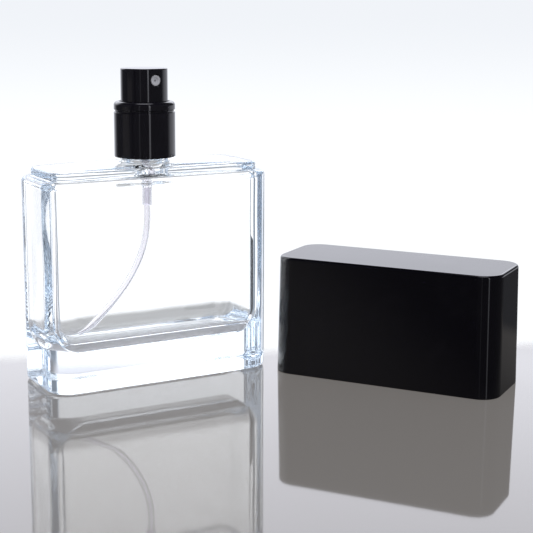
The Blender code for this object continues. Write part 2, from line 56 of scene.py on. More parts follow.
# Surfaces. Shapes are worked out in millimetres and go into their meshes in metres.

def span(node):
    # radius, foot and top of a turned part, in millimetres, from its box
    low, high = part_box(node)
    return high.x / mm, low.z / mm, high.z / mm


def roundOff(corners, closed=False, steps=8, guard=0.12, spacing=None):
    # points along a line through (x, y, radius) corners: each corner is an arc that touches both of
    # its straights, each straight has a guard point beside its arcs, and is filled in at the spacing
    flat = np.array([corner[:2] for corner in corners], float)
    count = len(flat)
    runs = []
    for i in range(count):
        radius = corners[i][2] if len(corners[i]) > 2 else 0
        if radius == 0 or (not closed and i in (0, count - 1)):
            runs.append(flat[i][None])
            continue
        back = flat[i - 1] - flat[i]
        on = flat[(i + 1) % count] - flat[i]
        back, on = back / np.linalg.norm(back), on / np.linalg.norm(on)
        half = math.acos(np.clip(back @ on, -1, 1)) / 2
        tangent = radius / math.tan(half)
        middle = flat[i] + (back + on) / np.linalg.norm(back + on) * radius / math.sin(half)
        sweepAngle = math.pi - 2 * half
        share = np.linspace(0, 1, steps + 1)[:, None]
        first, last = flat[i] + back * tangent - middle, flat[i] + on * tangent - middle
        runs.append(middle + (np.sin((1 - share) * sweepAngle) * first
                              + np.sin(share * sweepAngle) * last) / math.sin(sweepAngle))
    points = []
    for i, run in enumerate(runs):
        points.append(run)
        if not closed and i == count - 1:
            break
        start, end = run[-1], runs[(i + 1) % count][0]
        length = np.linalg.norm(end - start)
        near = min(guard / max(length, 1e-9), 0.25)
        fills = max(int(length / spacing), 1) if spacing else 1
        share = np.concatenate([[near], np.linspace(0, 1, fills + 1)[1:-1], [1 - near]])
        share = np.unique(share[(share >= near) & (share <= 1 - near)])[:, None]
        points.append(start + (end - start) * share)
    return np.concatenate(points)


def skin(name, rings, body, nodes=(), closed=False, sharp=sharpAngle):
    # a closed surface over a (rows, columns, 3) grid: columns wrap round, and the rows either join
    # last to first, or each end row is closed by a fan to its middle
    rows, columns = rings.shape[:2]
    points = rings.reshape(-1, 3)
    index = np.arange(rows * columns).reshape(rows, columns)
    low, high = (index, np.roll(index, -1, 0)) if closed else (index[:-1], index[1:])
    quads = np.stack([low, np.roll(low, -1, 1), np.roll(high, -1, 1), high], -1).reshape(-1, 4)
    fans = np.zeros((0, 3), int)
    if not closed:
        points = np.concatenate([points, rings[0].mean(0)[None], rings[-1].mean(0)[None]])
        foot = np.stack([np.roll(index[0], -1), index[0], np.full(columns, rows * columns)], -1)
        top = np.stack([index[-1], np.roll(index[-1], -1), np.full(columns, rows * columns + 1)], -1)
        fans = np.concatenate([foot, top])
    triangles = np.concatenate([quads[:, [0, 1, 2]], quads[:, [0, 2, 3]], fans])
    a, b, c = (points[triangles[:, k]] for k in range(3))
    if np.einsum("ij,ij->i", a, np.cross(b, c)).sum() < 0:   # inside out, so every face turns round
        quads, fans = quads[:, ::-1], fans[:, ::-1]
    mesh = bpy.data.meshes.new(name)
    mesh.from_pydata((points * mm).tolist(), [], quads.tolist() + fans.tolist())
    mesh.shade_smooth()
    mesh.set_sharp_from_angle(angle=math.radians(sharp))
    piece = bpy.data.objects.new(name, mesh)
    scene.collection.objects.link(piece)
    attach(piece, body)
    if nodes:
        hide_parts(*nodes)
    return piece


def turned(profile, sides):
    # rings of a profile of (radius, height) points carried round Z
    turn = np.linspace(0, 2 * math.pi, sides, endpoint=False)
    r, z = profile[:, :1], profile[:, 1:]
    return np.stack([r * np.cos(turn), r * np.sin(turn), z + 0 * turn], -1)


def lathe(name, corners, body, slot, nodes=(), sides=96, place=None, **rounding):
    # a turned piece from rounded corners; a profile that starts on the axis is a solid one
    solid = corners[0][0] == 0
    profile = roundOff(corners, closed=not solid, **rounding)
    if solid:
        profile = profile[1:-1]
    rings = turned(profile, sides)
    if place is not None:
        rings = place(rings)
    return skin(name, rings, body, nodes, closed=not solid)


def outline(cornerSteps=14, longSteps=36, shortSteps=14):
    # round a box outline: which corner each column belongs to as signs, and its outward direction;
    # a column on a straight side is a mix of the two corners that end it
    signX, signY, turn = [], [], []
    corners = ((1, 1), (-1, 1), (-1, -1), (1, -1))
    for quarter, (x, y) in enumerate(corners):
        nextX, nextY = corners[(quarter + 1) % 4]
        arc = np.linspace(quarter, quarter + 1, cornerSteps + 1) * math.pi / 2
        steps = longSteps if quarter % 2 == 0 else shortSteps
        share = (0.5 - 0.5 * np.cos(np.linspace(0, math.pi, steps + 1)))[1:-1]
        signX.append(np.concatenate([np.full(cornerSteps + 1, x), x + (nextX - x) * share]))
        signY.append(np.concatenate([np.full(cornerSteps + 1, y), y + (nextY - y) * share]))
        turn.append(np.concatenate([arc, np.full(steps - 1, arc[-1])]))
    return tuple(np.concatenate(part) for part in (signX, signY, turn))


def boxRings(width, depth, corner, z, columns):
    # one rounded rectangle for each row: the corner's centre by its signs, plus its radius outwards
    signX, signY, turn = columns
    width, depth, corner, z = (np.broadcast_to(np.asarray(part, float), np.shape(z))[:, None]
                               for part in (width, depth, corner, z))
    x = signX * (width / 2 - corner) + corner * np.cos(turn)
    y = signY * (depth / 2 - corner) + corner * np.sin(turn)
    return np.stack([x, y, z + 0 * x], -1)


def circleRings(radius, z, guide):
    # circles whose points stand at the guide ring's angles, measured with the guide squared up
    half = np.abs(guide[:, :2]).max(0)
    turn = np.arctan2(guide[:, 1] / half[1], guide[:, 0] / half[0])
    radius, z = np.asarray(radius, float)[:, None], np.asarray(z, float)[:, None]
    return np.stack([radius * np.cos(turn), radius * np.sin(turn), z + 0 * turn], -1)


def between(first, last, steps, rise):
    # rings from one ring to another: outlines mix evenly and the height follows rise(share)
    share = np.linspace(0, 1, steps + 1)[1:-1, None, None]
    rings = first + (last - first) * share
    rings[..., 2] = first[0, 2] + (last[0, 2] - first[0, 2]) * rise(share[..., 0])
    return rings


def ripple(points, size, seed):
    # smooth unevenness from about -1 to 1: sines of the distance along ten drawn directions
    draw = np.random.default_rng(seed)
    way = draw.normal(size=(10, 3))
    way *= 2 * math.pi / (size * draw.uniform(0.7, 1.8, 10) * np.linalg.norm(way, axis=1))[:, None]
    return np.sin(points @ way.T + draw.uniform(0, 2 * math.pi, 10)).mean(-1) * 2


def sweep(path, radius, sides, up):
    # circles carried along a path: one side looks across up and the path, the other across both
    along = np.gradient(path, axis=0)
    along /= np.linalg.norm(along, axis=1)[:, None]
    side = np.cross(up, along)
    side /= np.linalg.norm(side, axis=1)[:, None]
    other = np.cross(along, side)
    turn = np.linspace(0, 2 * math.pi, sides, endpoint=False)[None, :, None]
    radius = np.broadcast_to(radius, len(path))[:, None, None]
    return path[:, None] + radius * (np.cos(turn) * side[:, None] + np.sin(turn) * other[:, None])


# Shader maths

class Value:
    # one output socket, so that sums on it add Math nodes
    def __init__(self, tree, socket):
        self.tree, self.socket = tree, socket

    def math(self, operation, first, second=None):
        node = self.tree.nodes.new("ShaderNodeMath")
        node.operation = operation
        for slot, value in zip(node.inputs, (first, second)):
            plug(self.tree, slot, value)
        return Value(self.tree, node.outputs[0])

    def __add__(self, other): return self.math("ADD", self, other)
    def __radd__(self, other): return self.math("ADD", other, self)
    def __sub__(self, other): return self.math("SUBTRACT", self, other)
    def __rsub__(self, other): return self.math("SUBTRACT", other, self)
    def __mul__(self, other): return self.math("MULTIPLY", self, other)
    def __rmul__(self, other): return self.math("MULTIPLY", other, self)


def plug(tree, slot, value):
    # a link where value is a socket, and otherwise the number or colour itself
    if isinstance(value, Value):
        tree.links.new(value.socket, slot)
    elif value is not None:
        slot.default_value = value


class Shade:
    # a node tree with one way to add a node: its settings first, then its sockets by name or place
    def __init__(self, tree):
        self.tree = tree
        tree.nodes.clear()

    def add(self, kind, settings=None, output=0, **sockets):
        node = self.tree.nodes.new("ShaderNode" + kind)
        for key, value in (settings or {}).items():
            setattr(node, key, value)
        for key, value in sockets.items():
            place = key.replace("_", " ")
            slot = node.inputs[int(key[1:])] if key[1:].isdigit() else node.inputs[place]
            plug(self.tree, slot, value)
        return Value(self.tree, node.outputs[output]) if node.outputs else node

    def where(self, scale=(1, 1, 1), turn=(0, 0, 0)):
        # object coordinates, stretched and turned; positions are in metres
        place = self.add("TexCoord", output="Object")
        return self.add("Mapping", Vector=place, Scale=scale, Rotation=turn)

    def noise(self, place, scale, detail=3.0, rough=0.5, twist=0.0):
        return self.add("TexNoise", Vector=place, Scale=scale, Detail=detail, Roughness=rough,
                        Distortion=twist)

    def step(self, value, low, high, bottom=0.0, top=1.0):
        # smooth step from bottom at low to top at high
        return self.add("MapRange", {"interpolation_type": "SMOOTHSTEP"}, i0=value, i1=low, i2=high,
                        i3=bottom, i4=top)

    def mix(self, share, first, last):
        return self.add("Mix", {"data_type": "RGBA"}, output=2, i0=share, i6=first, i7=last)

    def bump(self, height, strength, distance):
        return self.add("Bump", Height=height, Strength=strength, Distance=distance)


def finish(name, facts, build, depth=None):
    # a Principled material: facts are plain socket values, build gives the sockets that vary, and
    # depth is the colour and density that thick glass takes on
    material = bpy.data.materials.new(name)
    material.use_nodes = True
    shade = Shade(material.node_tree)
    varying = build(shade)
    shader = shade.add("BsdfPrincipled")
    node = shader.socket.node
    for key, value in {**facts, **varying}.items():
        plug(shade.tree, node.inputs[key], value)
    inside = shade.add("VolumeAbsorption", Color=depth[0], Density=depth[1]) if depth else None
    shade.add("OutputMaterial", Surface=shader, Volume=inside)
    return material


def dress(material, *pieces):
    for piece in pieces:
        piece.data.materials.clear()
        piece.data.materials.append(material)


print("materials")

flint = {"tint": (0.985, 0.993, 0.996, 1), "index": 1.52, "depthTint": (0.70, 0.78, 0.86, 1),
         "depth": 14.0, "waves": 95, "skin": 420, "relief": 0.00006}


def flintNodes(shade):
    # slow waviness with a finer skin over it
    wave = shade.noise(shade.where(scale=(1, 1, 0.55)), flint["waves"], 2, 0.4)
    fine = shade.noise(shade.where(scale=(1, 1, 0.8)), flint["skin"], 2, 0.5)
    height = wave * 0.8 + fine * 0.2
    return {"Normal": shade.bump(height, 0.35, flint["relief"])}


flintGlass = finish("flintGlass", {"Base Color": flint["tint"], "Roughness": 0.0, "IOR": flint["index"],
                                   "Transmission Weight": 1.0},
                    flintNodes, (flint["depthTint"], flint["depth"]))

lacquer = {"dark": (0.0068, 0.0062, 0.0094, 1), "pale": (0.0086, 0.0080, 0.0116, 1), "rough": 0.045,
           "hazeRough": 0.05, "dustRough": 0.15, "peel": 1400, "haze": 160, "dust": 5200,
           "relief": 0.00002}


def lacquerNodes(shade):
    # a sprayed coat: slight orange peel, a little handling haze and a few specks of dust
    place = shade.where()
    peel = shade.noise(place, lacquer["peel"], 2, 0.5)
    haze = shade.noise(place, lacquer["haze"], 4, 0.6)
    speck = shade.step(shade.noise(place, lacquer["dust"], 1, 0.5), 0.74, 0.8)
    rough = (lacquer["rough"] + shade.step(haze, 0.45, 0.75) * lacquer["hazeRough"]
             + speck * lacquer["dustRough"])
    colour = shade.mix(shade.step(haze, 0.3, 0.7), lacquer["dark"], lacquer["pale"])
    return {"Base Color": colour, "Roughness": rough, "Normal": shade.bump(peel, 0.06, lacquer["relief"])}


blackLacquer = finish("blackLacquer", {"IOR": 1.52, "Coat Weight": 0.0}, lacquerNodes)


gloss = {"dark": (0.0022, 0.0018, 0.0040, 1), "pale": (0.0038, 0.0033, 0.0056, 1), "rough": 0.05,
         "smudgeRough": 0.05, "hairRough": 0.04, "flow": 38, "hair": 2600, "smudge": 70,
         "along": 55.75, "relief": 0.00005}


def capNodes(shade):
    # polished moulding: broad flow marks, fine wiping hairlines along the length, and faint smudges
    turn = (0, 0, math.radians(gloss["along"]))
    place = shade.where(turn=turn)
    flow = shade.noise(place, gloss["flow"], 3, 0.5, 0.6)
    hair = shade.noise(shade.where(scale=(0.06, 1, 1), turn=turn), gloss["hair"], 3, 0.6)
    smudge = shade.step(shade.noise(place, gloss["smudge"], 5, 0.62, 0.4), 0.5, 0.72)
    rough = (gloss["rough"] + smudge * gloss["smudgeRough"]
             + shade.step(hair, 0.6, 0.75) * gloss["hairRough"])
    colour = shade.mix(smudge, gloss["dark"], gloss["pale"])
    height = flow * 0.7 + hair * 0.02
    return {"Base Color": colour, "Roughness": rough, "Normal": shade.bump(height, 0.12, gloss["relief"])}


capGloss = finish("capGloss", {"IOR": 1.49}, capNodes)


def satinNodes(shade):
    # spark-eroded mould face: fine grain, and a slightly paler rub on high spots
    place = shade.where()
    grain = shade.noise(place, 3200, 4, 0.6)
    cloud = shade.noise(place, 150, 3, 0.5)
    colour = shade.mix(shade.step(cloud, 0.3, 0.75), (0.010, 0.010, 0.011, 1), (0.020, 0.020, 0.022, 1))
    return {"Base Color": colour, "Roughness": 0.34 + cloud * 0.16,
            "Normal": shade.bump(grain, 0.25, 0.00003)}


blackSatin = finish("blackSatin", {"IOR": 1.5}, satinNodes)


def clearNodes(shade):
    # extrusion lines and slight haze
    place = shade.where()
    haze = shade.noise(place, 220, 3, 0.5)
    lines = shade.noise(shade.where(scale=(1, 1, 0.1)), 1500, 2, 0.5)
    return {"Roughness": 0.03 + shade.step(haze, 0.4, 0.8) * 0.07,
            "Normal": shade.bump(lines, 0.15, 0.00002)}


clearPlastic = finish("clearPlastic", {"Base Color": (0.89, 0.88, 0.91, 1), "IOR": 1.49,
                                       "Transmission Weight": 1.0}, clearNodes)


def pumpNodes(shade):
    # moulded acetal: faint cloudiness and a fine mould texture
    place = shade.where()
    cloud = shade.noise(place, 240, 3, 0.5)
    grain = shade.noise(place, 2600, 3, 0.6)
    colour = shade.mix(cloud, (0.66, 0.66, 0.69, 1), (0.78, 0.78, 0.80, 1))
    return {"Base Color": colour, "Roughness": 0.28 + cloud * 0.2,
            "Normal": shade.bump(grain, 0.2, 0.00002)}


whiteAcetal = finish("whiteAcetal", {"IOR": 1.48}, pumpNodes)


def nozzleNodes(shade):
    # fine moulded face, a little uneven in tone
    place = shade.where()
    cloud = shade.noise(place, 900, 3, 0.5)
    grain = shade.noise(place, 5200, 3, 0.6)
    colour = shade.mix(cloud, (0.56, 0.56, 0.60, 1), (0.66, 0.66, 0.70, 1))
    return {"Base Color": colour, "Roughness": 0.3 + cloud * 0.2,
            "Normal": shade.bump(grain, 0.15, 0.00001)}


nozzleGrey = finish("nozzleGrey", {"IOR": 1.48}, nozzleNodes)


def ringedNodes(dark, pale, lowRough, highRough):
    # turning or drawing marks: noise squeezed along Z, so that it lies in rings round the part
    def build(shade):
        rings = shade.noise(shade.where(scale=(0.05, 0.05, 1)), 5200, 3, 0.6)
        cloud = shade.noise(shade.where(), 260, 3, 0.5)
        colour = shade.mix(cloud * 0.6 + rings * 0.4, dark, pale)
        rough = lowRough + rings * (highRough - lowRough)
        return {"Base Color": colour, "Roughness": rough, "Normal": shade.bump(rings, 0.25, 0.00001)}
    return build


drawnAluminium = finish("drawnAluminium", {"Metallic": 1.0},
                        ringedNodes((0.70, 0.71, 0.72, 1), (0.86, 0.86, 0.87, 1), 0.2, 0.38))
springSteel = finish("springSteel", {"Metallic": 1.0},
                     ringedNodes((0.46, 0.46, 0.47, 1), (0.66, 0.66, 0.66, 1), 0.18, 0.34))


def rubberNodes(shade):
    # matt rubber with a coarse grain
    place = shade.where()
    grain = shade.noise(place, 1900, 4, 0.65)
    cloud = shade.noise(place, 200, 3, 0.5)
    colour = shade.mix(cloud, (0.022, 0.022, 0.023, 1), (0.05, 0.05, 0.05, 1))
    return {"Base Color": colour, "Roughness": 0.62 + grain * 0.2,
            "Normal": shade.bump(grain, 0.4, 0.00004)}


sealRubber = finish("sealRubber", {"IOR": 1.5}, rubberNodes)

print("glass bottle")

bottle = {"width": 71.0, "depth": 28.4, "corner": 7.0, "heel": 1.4, "ledge": 60.9, "ledgeRound": 1.5,
          "tierInset": 2.8, "tierFoot": 0.5, "tierTop": 63.5, "tierRound": 0.9, "crown": 64.2,
          "neck": 6.7, "neckFoot": 1.6, "bead": 7.4, "beadLow": 69.6, "beadSlope": 0.7, "top": 73.0,
          "footInset": 12.0, "leastCorner": 0.8,
          "bore": 5.0, "boreFoot": 60.6, "boreRound": 1.2,
          "sideWall": 3.8, "frontWall": 2.8, "cavityCorner": 4.2, "tightCorner": 0.9, "floor": 10.2,
          "floorRound": 8.6, "floorInset": 9.3, "ceiling": 59.7, "ceilingRound": 1.6,
          "outerWave": 0.012, "innerWave": 0.1}


def makeBottle():
    # one wall: rounded rectangles up the outside, mixing into circles for the neck, over the lip,
    # and rounded rectangles again down the cavity; each row is an inset or radius at a height
    b = bottle
    columns = outline()
    turn = columns[2]
    outward = np.stack([np.cos(turn), np.sin(turn), 0 * turn], -1)

    def bodyRow(profile):
        inset, z = profile.T
        return boxRings(b["width"] - 2 * inset, b["depth"] - 2 * inset,
                        np.maximum(b["corner"] - inset, b["leastCorner"]), z, columns)

    def cavityRow(profile):
        inset, z = profile.T
        return boxRings(b["width"] - 2 * (b["sideWall"] + inset),
                        b["depth"] - 2 * (b["frontWall"] + inset),
                        np.maximum(b["cavityCorner"] - inset, b["tightCorner"]), z, columns)

    outside = bodyRow(roundOff([(b["footInset"], 0.0), (0.0, 0.0, b["heel"]),
                                (0.0, b["ledge"], b["ledgeRound"]),
                                (b["tierInset"], b["ledge"], b["tierFoot"]),
                                (b["tierInset"], b["tierTop"], b["tierRound"]),
                                (b["tierInset"] + b["tierRound"] + 0.1, b["tierTop"])], spacing=1.5))
    outside = outside + outward * ((ripple(outside, 24, 3) - 1.2) * b["outerWave"])[..., None]
    guide = outside[-1]
    neck = roundOff([(b["neck"] + b["neckFoot"] + 0.2, b["crown"]),
                     (b["neck"], b["crown"], b["neckFoot"]),
                     (b["neck"], b["beadLow"], 0.3), (b["bead"], b["beadLow"] + b["beadSlope"], 0.2),
                     (b["bead"], b["top"], 0.6), (b["bore"], b["top"], 0.4),
                     (b["bore"], b["boreFoot"], b["boreRound"]),
                     (b["bore"] + b["boreRound"] + 0.2, b["boreFoot"] - 0.05)], steps=6)
    neck = circleRings(neck[:, 0], neck[:, 1], guide)
    crown = between(outside[-1], neck[0], 12, lambda share: np.sin(share * math.pi / 2))
    inside = cavityRow(roundOff([(b["ceilingRound"] + 1.0, b["ceiling"]),
                                 (0.0, b["ceiling"], b["ceilingRound"]),
                                 (0.0, b["floor"], b["floorRound"]),
                                 (b["floorInset"], b["floor"] - 0.05)], steps=18, spacing=1.5))
    # blown glass is uneven inside, mostly across the wall
    wave = ripple(inside, 17, 7) * b["innerWave"]
    inside = inside + outward * wave[..., None] + np.array([0, 0, 1]) * wave[..., None] * 0.6
    shoulder = between(neck[-1], inside[0], 8, lambda share: share)
    rings = np.concatenate([outside, crown, neck, shoulder, inside])
    return skin("bottleGlass", rings, "bottle", ["glass_bottle"], sharp=60)


bottleGlass = makeBottle()
dress(flintGlass, bottleGlass)

print("collar and crimp")

collar = {"wall": 0.6, "mouth": 7.4, "topRound": 1.2, "groove": 79.1, "grooveWide": 0.8,
          "grooveDeep": 0.3, "grooveSlope": 0.15, "lipDeep": 1.0, "lipSlope": 0.6}


def makeCollar():
    r, low, top = span("collar")
    c = collar
    inner = r - c["wall"]
    below, above = c["groove"] - c["grooveWide"] / 2, c["groove"] + c["grooveWide"] / 2
    deep = r - c["grooveDeep"]
    lip = top - c["lipDeep"]
    corners = [(inner, low, 0.15), (r, low, 0.25), (r, below, 0.1),
               (deep, below + c["grooveSlope"], 0.08), (deep, above - c["grooveSlope"], 0.08),
               (r, above, 0.1), (r, top, c["topRound"]), (c["mouth"], top, 0.22),
               (c["mouth"], lip, 0.1), (inner, lip - c["lipSlope"], 0.2)]
    return lathe("collarSleeve", corners, "bottle", "gloss_black", ["collar"], sides=160)


collarSleeve = makeCollar()
dress(blackLacquer, collarSleeve)


ferrule = {"wall": 0.35, "roll": 0.75, "tuck": 0.5, "hole": 3.15}


def makeFerrule():
    r, low, top = span("crimp_ferrule")
    wall, roll, hole = ferrule["wall"], ferrule["roll"], ferrule["hole"]
    tuck = r - wall - ferrule["tuck"]
    corners = [(hole, top - wall), (r - wall, top - wall, 0.2), (r - wall, low + roll, 0.3),
               (tuck, low + wall, 0.05), (tuck, low),
               (r - roll / 2, low, 0.1), (r, low + roll, 0.4), (r, top, 0.5), (hole, top, 0.1)]
    return lathe("crimpCup", corners, "bottle", "aluminium", ["crimp_ferrule"], steps=5)


crimpCup = makeFerrule()


softRings = {"gasketHole": 4.05, "gasketRound": 0.15, "sealHole": 1.5, "sealRound": 0.2}


def ring(name, node, inner, soft):
    r, low, top = span(node)
    corners = [(inner, low, soft), (r, low, soft), (r, top, soft), (inner, top, soft)]
    return lathe(name, corners, "bottle", "rubber", [node], steps=4)


gasketRing = ring("gasketRing", "neck_gasket", softRings["gasketHole"], softRings["gasketRound"])
sealRing = ring("sealRing", "stem_seal", softRings["sealHole"], softRings["sealRound"])

retainer = {"grip": 8.0, "mouth": 7.5, "shelf": 75.8}


def makeRetainer():
    r, low, top = span("collar_retainer")
    grip, mouth, shelf = retainer["grip"], retainer["mouth"], retainer["shelf"]
    corners = [(grip, low, 0.2), (r, low, 0.2), (r, top, 0.2), (mouth, top, 0.15), (mouth, shelf, 0.1),
               (grip, shelf, 0.1)]
    return lathe("retainerSleeve", corners, "bottle", "black_plastic", ["collar_retainer"], steps=4)


retainerSleeve = makeRetainer()
dress(drawnAluminium, crimpCup)
dress(sealRubber, gasketRing, sealRing)

print("pump")

pump = {"flangeLow": 74.0, "guideSeat": 3.4, "guideSeatZ": 73.4, "chamber": 2.9, "chamberFloor": 66.9,
        "springBore": 1.38, "springSeat": 61.3, "ballWell": 0.95, "ballRest": 59.9, "ballSeat": 0.56,
        "inlet": 0.5, "barrel": 3.9, "barrelLow": 65.7, "barrelFoot": 0.6, "footIn": 0.5,
        "slim": 1.8, "slimLow": 59.6, "tail": 1.53, "tailTop": 59.0, "socket": 1.06,
        "socketTop": 56.7}


def makeBarrel():
    r, low, top = span("pump_housing")
    p = pump
    corners = [(p["guideSeat"], top, 0.1), (p["guideSeat"], p["guideSeatZ"], 0.1),
               (p["chamber"], p["guideSeatZ"], 0.15), (p["chamber"], p["chamberFloor"], 0.3),
               (p["springBore"], p["chamberFloor"], 0.15), (p["springBore"], p["springSeat"], 0.08),
               (p["ballWell"], p["springSeat"], 0.1), (p["ballWell"], p["ballRest"], 0.1),
               (p["inlet"], p["ballRest"] - p["ballSeat"], 0.1), (p["inlet"], p["socketTop"], 0.05),
               (p["socket"], p["socketTop"], 0.1), (p["socket"], low, 0.1), (p["tail"], low, 0.15),
               (p["tail"], p["tailTop"], 0.3), (p["slim"], p["slimLow"], 0.3),
               (p["slim"], p["barrelLow"] - p["barrelFoot"], 0.25),
               (p["barrel"] - p["footIn"], p["barrelLow"] - p["barrelFoot"] / 2, 0.4),
               (p["barrel"], p["barrelLow"] + p["barrelFoot"], 0.5), (p["barrel"], p["flangeLow"], 0.3),
               (r, p["flangeLow"], 0.15), (r, top, 0.15)]
    return lathe("pumpBarrel", corners, "bottle", "clear_plastic", ["pump_housing"], steps=5)


pumpBarrel = makeBarrel()


bush = {"boss": 2.95, "bore": 1.53, "shoulder": 75.1}
stem = {"bore": 0.6}
piston = {"bore": 1.51, "waist": 2.5, "lip": 0.5}
pin = {"foot": 0.7, "shaft": 1.0, "tip": 0.45, "flange": 0.8, "flangeThick": 0.4, "tipLong": 1.3,
       "tipSlope": 0.2}


def makeGuide():
    r, low, top = span("stem_guide")
    boss, bore, shoulder = bush["boss"], bush["bore"], bush["shoulder"]
    corners = [(bore, low, 0.15), (r, low, 0.1), (r, shoulder, 0.15), (boss, shoulder, 0.1),
               (boss, top, 0.3), (bore, top, 0.25)]
    return lathe("guideBush", corners, "bottle", "white_plastic", ["stem_guide"], steps=4)


guideBush = makeGuide()


def makeStem():
    r, low, top = span("stem")
    bore = stem["bore"]
    corners = [(bore, low, 0.1), (r, low, 0.12), (r, top, 0.2), (bore, top, 0.1)]
    return lathe("pumpStem", corners, "pump_stem", "white_plastic", ["stem"], sides=64, steps=4)


def makePiston():
    r, low, top = span("piston")
    bore, waist, lip, middle = piston["bore"], piston["waist"], piston["lip"], (low + top) / 2
    corners = [(bore, low + lip, 0.05), (waist, low, 0.08), (r, low, 0.05), (waist, middle, 0.5),
               (r, top, 0.05), (waist, top, 0.08), (bore, top - lip, 0.05)]
    return lathe("pistonSeal", corners, "pump_stem", "white_plastic", ["piston"], sides=64, steps=4)


def makePin():
    r, low, top = span("valve_pin")
    foot, shaft, tip = pin["foot"], pin["shaft"], pin["tip"]
    flange, shoulder = low + pin["flange"], top - pin["tipLong"]
    over = flange + pin["flangeThick"]
    corners = [(0, low), (foot, low, 0.15), (foot, flange, 0.05), (r, flange, 0.1), (r, over, 0.12),
               (shaft, over, 0.1), (shaft, shoulder - pin["tipSlope"], 0.1), (tip, shoulder, 0.05),
               (tip, top, 0.15), (0, top)]
    return lathe("valvePin", corners, "pump_stem", "white_plastic", ["valve_pin"], sides=48, steps=4)


pumpStem, pistonSeal, valvePin = makeStem(), makePiston(), makePin()


def makeBall():
    low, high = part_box("check_ball")
    radius, middle = (high.z - low.z) / 2 / mm, (high.z + low.z) / 2 / mm
    lift = np.linspace(-math.pi / 2, math.pi / 2, 26)[1:-1]
    rings = turned(np.stack([radius * np.cos(lift), middle + radius * np.sin(lift)], -1), 40)
    return skin("checkBall", rings, "ball", ["check_ball"], sharp=80)


checkBall = makeBall()

spring = {"wire": 0.13, "coil": 1.12, "turns": 7.5, "closedTurns": 1.0, "closedPace": 0.35,
          "stepsPerTurn": 40, "keep": 0.346}


def makeSpring():
    # a helix whose first and last turns lie almost flat
    low, high = (corner.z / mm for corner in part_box("return_spring"))
    s = spring
    foot, head = low + s["wire"], high - s["wire"]
    turn = np.linspace(0, s["turns"], int(s["turns"] * s["stepsPerTurn"]) + 1)
    share = turn / s["turns"]
    edge = s["closedTurns"] / s["turns"]
    slow = np.clip(np.minimum(share, 1 - share) / edge, 0, 1)
    pace = s["closedPace"] + (1 - s["closedPace"]) * slow * slow * (3 - 2 * slow)
    rise = np.concatenate([[0], np.cumsum((pace[1:] + pace[:-1]) / 2)])
    z = foot + (head - foot) * rise / rise[-1]
    angle = turn * 2 * math.pi
    path = np.stack([s["coil"] * np.cos(angle), s["coil"] * np.sin(angle), z], -1)
    rings = sweep(path, s["wire"], 12, (0, 0, 1))
    coil = skin("coilSpring", rings, "bottle", ["return_spring"], sharp=60)
    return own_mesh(coil)


coilSpring = makeSpring()

tube = {"outer": 1.0, "inner": 0.6, "top": 56.5, "bend": 51.0, "endX": -22.6, "endZ": 13.0,
        "topPullX": 1.0, "topPullZ": 17.8, "endPullX": 13.1, "endPullZ": 11.1}


def makeDipTube():
    # straight in its socket, then a cubic curve to the cavity's left floor; out and back inside
    t = tube
    share = np.linspace(0, 1, 72)[:, None]
    top, end = np.array([0, 0, t["bend"]]), np.array([t["endX"], 0, t["endZ"]])
    first, last = top + [t["topPullX"], 0, -t["topPullZ"]], end + [t["endPullX"], 0, t["endPullZ"]]
    curve = ((1 - share) ** 3 * top + 3 * (1 - share) ** 2 * share * first
             + 3 * (1 - share) * share ** 2 * last + share ** 3 * end)
    straight = np.array([[0, 0, z] for z in np.linspace(t["top"], t["bend"], 6)[:-1]])
    path = np.concatenate([straight, curve])
    outer, inner = (sweep(path, t[wall], 28, (0, 1, 0)) for wall in ("outer", "inner"))
    return skin("dipTube", np.concatenate([outer, inner[::-1]]), "bottle", ["dip_tube"],
                closed=True)


dipTube = makeDipTube()
dress(clearPlastic, pumpBarrel, dipTube)
dress(whiteAcetal, guideBush, pumpStem, pistonSeal, valvePin)
dress(springSteel, checkBall, coilSpring)

print("spray button")

button = {"wall": 0.5, "edge": 0.4, "window": 1.67, "windowEdge": 0.12, "windowFrom": 4.0,
          "windowFlare": 0.45, "windowPast": 0.35, "nozzleZ": 88.1, "nozzleTurn": 6.0}


def cutBy(piece, cutter):
    # takes the cutter out of the piece for good, and removes it
    modifier = piece.modifiers.new("cut", "BOOLEAN")
    modifier.operation, modifier.solver, modifier.object = "DIFFERENCE", "EXACT", cutter
    bpy.context.view_layer.update()
    made = bpy.data.meshes.new_from_object(piece.evaluated_get(bpy.context.evaluated_depsgraph_get()))
    piece.modifiers.clear()
    piece.data = made
    bpy.data.objects.remove(cutter)
    made.shade_smooth()
    made.set_sharp_from_angle(angle=math.radians(sharpAngle))


def facing(z):
    # turns a piece made round Z to lie along the nozzle's direction at height z
    turn = math.radians(button["nozzleTurn"])

    def place(rings):
        x, y, along = rings[..., 0], rings[..., 1], rings[..., 2]
        return np.stack([x * math.cos(turn) + along * math.sin(turn),
                         x * math.sin(turn) - along * math.cos(turn), y + z], -1)
    return place


def bar(name, corners):
    # a cutting bar along the nozzle's direction
    return lathe(name, corners, "spray_button", "gloss_black", sides=64,
                 place=facing(button["nozzleZ"]), steps=3)


def makeButton():
    low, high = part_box("actuator_shell")
    r, foot, top = high.x / mm, low.z / mm, high.z / mm
    b = button
    inner, ceiling = r - b["wall"], top - b["wall"]
    corners = [(0, ceiling), (inner, ceiling, 0.3), (inner, foot, 0.12), (r, foot, 0.15),
               (r, top, b["edge"]), (0, top)]
    shell = lathe("buttonShell", corners, "spray_button", "gloss_black", ["actuator_shell"],
                  sides=160, spacing=0.8)
    # the window flares out just under the surface, which leaves its edge broken
    w, edge, start, past = b["window"], b["windowEdge"], b["windowFrom"], r + b["windowPast"]
    cutBy(shell, bar("windowBar", [(0, start), (w, start), (w, r - edge - 0.1),
                                   (w + edge + b["windowFlare"], past), (0, past)]))
    return shell


buttonShell = makeButton()


